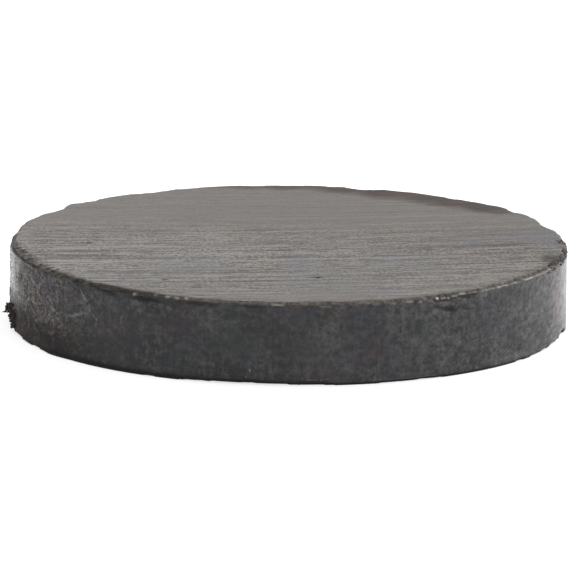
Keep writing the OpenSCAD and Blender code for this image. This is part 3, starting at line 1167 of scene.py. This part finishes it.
def fractured_ferrite():
    """Ferrite where it has flaked: a dull, grainy break, paler over the pole face, where it is rubbed."""
    material, tree = new_material("fractured_ferrite")
    place = body_mm(tree)
    # The grains are a few thousandths of a mm. They are drawn in clumps of some 0.15 mm so that they show.
    grains = add(tree, "TexNoise", {"Vector": place, "Scale": 7.0, "Detail": 4.0, "Roughness": 0.7})
    light = add(tree, "MapRange", {"Value": grains, "From Min": 0.36, "From Max": 0.62})
    fresh = add(tree, "Mix", {0: light, 6: srgb("#0f0c0b"), 7: srgb("#292421")}, out=2, data_type="RGBA")
    rubbed = add(tree, "Mix", {0: light, 6: srgb("#1d1815"), 7: srgb("#6a6158")}, out=2, data_type="RGBA")
    height = add(tree, "SeparateXYZ", {0: place}, out=2)
    over = {"Value": height, "From Min": THICKNESS - 0.16, "From Max": THICKNESS - 0.07}
    colour = add(tree, "Mix", {0: add(tree, "MapRange", over), 6: fresh, 7: rubbed}, out=2, data_type="RGBA")
    colour, rough = worn_soiled_and_painted_light(tree, colour, roughness=0.65)
    return finish_material(material, tree, colour, rough, ior=1.45, relief=grains, strength=0.8, depth=0.02)


def ferrite_dust():
    """Loose ferrite powder without gloss: mostly nearly black, with some greyer and some rusty grains."""
    material, tree = new_material("ferrite_dust")
    which = add(tree, "NewGeometry", out="Random Per Island")
    # The powder is finer than 0.01 mm. It is drawn in lumps of some 0.07 mm so that it shows.
    grains = add(tree, "TexNoise", {"Vector": body_mm(tree), "Scale": 14.0, "Detail": 3.0})
    colour = add(tree, "Mix", {0: grains, 6: srgb("#0c0a09"), 7: srgb("#28221f")}, out=2, data_type="RGBA")
    greyer = add(tree, "Attribute", out="Fac", attribute_name="greyer")
    for start, tint in ((0.15, "#4b4540"), (0.4, "#6b635c"), (0.72, "#908880"), (0.9, "#7d5f55")):
        some = add(tree, "MapRange", {"Value": which, "From Min": start, "From Max": start + 0.01})
        some = add(tree, "Math", {0: some, 1: greyer}, operation="MULTIPLY")
        colour = add(tree, "Mix", {0: some, 6: colour, 7: srgb(tint)}, out=2, data_type="RGBA")
    return finish_material(
        material, tree, colour, roughness=0.9, ior=1.4, relief=grains, strength=0.5, depth=0.01
    )


# ---------------------------------------------------------------- the studio

def pale_floor():
    """A wide white table top that keeps the object's shadow."""
    half = 2000 * MM
    corners = [(-half, -half, 0), (half, -half, 0), (half, half, 0), (-half, half, 0)]
    mesh = bpy.data.meshes.new("floor")
    mesh.from_pydata(corners, [], [(0, 1, 2, 3)])
    floor = put_in_scene("floor", mesh)
    material, tree = new_material("white_board")
    board = add(tree, "BsdfDiffuse", {"Color": srgb("#d8d8d8")})
    glow = add(tree, "Emission", {"Color": srgb("#ffffff"), "Strength": 0.66})
    lifted = add(tree, "AddShader", {0: board, 1: glow})
    surface = add(tree, "MixShader", {0: seen_directly(tree), 1: board, 2: lifted})
    add(tree, "OutputMaterial", {"Surface": surface})
    mesh.materials.append(material)


def seen_directly(tree):
    """1 where the camera sees a surface, or sees it mirrored or through something, and 0 for plain light."""
    path = add(tree, "LightPath").node.outputs
    mirrored = add(tree, "Math", {0: path["Is Camera Ray"], 1: path["Is Glossy Ray"]}, operation="MAXIMUM")
    return add(tree, "Math", {0: mirrored, 1: path["Is Transmission Ray"]}, operation="MAXIMUM")


def studio_world():
    """A white surround: plain light on the object, and white where it is seen or mirrored."""
    world = bpy.data.worlds.new("studio")
    bpy.context.scene.world = world
    world.use_nodes = True
    tree = world.node_tree
    tree.nodes.clear()
    lighting = add(tree, "Background", {"Color": srgb("#ffffff"), "Strength": 0.75})
    backdrop = add(tree, "Background", {"Color": srgb("#ffffff"), "Strength": 1.0})
    surface = add(tree, "MixShader", {0: seen_directly(tree), 1: lighting, 2: backdrop})
    add(tree, "OutputWorld", {"Surface": surface})


def soft_light(name, place, width, power):
    """A square soft box, turned to the disc. Its place and width are in mm and its power is in watts."""
    light = bpy.data.lights.new(name, "AREA")
    light.shape = "SQUARE"
    light.size = width * MM
    light.energy = power
    lamp = put_in_scene(name, light)
    lamp.location = Vector(place) * MM
    lamp.rotation_euler = (-lamp.location).to_track_quat("-Z", "Y").to_euler()


def camera():
    """A long lens a little above the table, turned a touch about its own axis.

    It aims a touch to the left of the disc's middle and below it. The distance and the aim are in mm.
    """
    distance = 400.0
    rise = math.radians(12.45)
    roll = math.radians(0.66)
    middle = Vector((0, 0, THICKNESS / 2))
    aim = middle + Vector((-0.116, 0, -0.074))
    data = bpy.data.cameras.new("camera")
    data.sensor_width = 36
    data.lens = 703
    data.clip_start = 0.01
    data.clip_end = 10
    eye = put_in_scene("camera", data)
    eye.location = (middle + Vector((0, -distance * math.cos(rise), distance * math.sin(rise)))) * MM
    towards = aim * MM - eye.location
    eye.rotation_mode = "QUATERNION"
    turned = towards.to_track_quat("-Z", "Y").to_matrix() @ Matrix.Rotation(roll, 3, "Z")
    eye.rotation_quaternion = turned.to_quaternion()
    bpy.context.scene.camera = eye


# ---------------------------------------------------------------- putting it together

bpy.context.scene.view_settings.view_transform = "Standard"
camera()
pale_floor()
studio_world()
soft_light("back_right_soft_box", place=(250, 210, 230), width=160, power=0.8)

skin = magnet_skin()
for material in (ground_ferrite(), sintered_ferrite(), fractured_ferrite()):
    skin.data.materials.append(material)
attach(skin, "root")
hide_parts(DISC)

dust = ferrite_dust()
for piece in (dust_tuft(), rim_dust()):
    piece.data.materials.append(dust)
    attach(piece, "root")
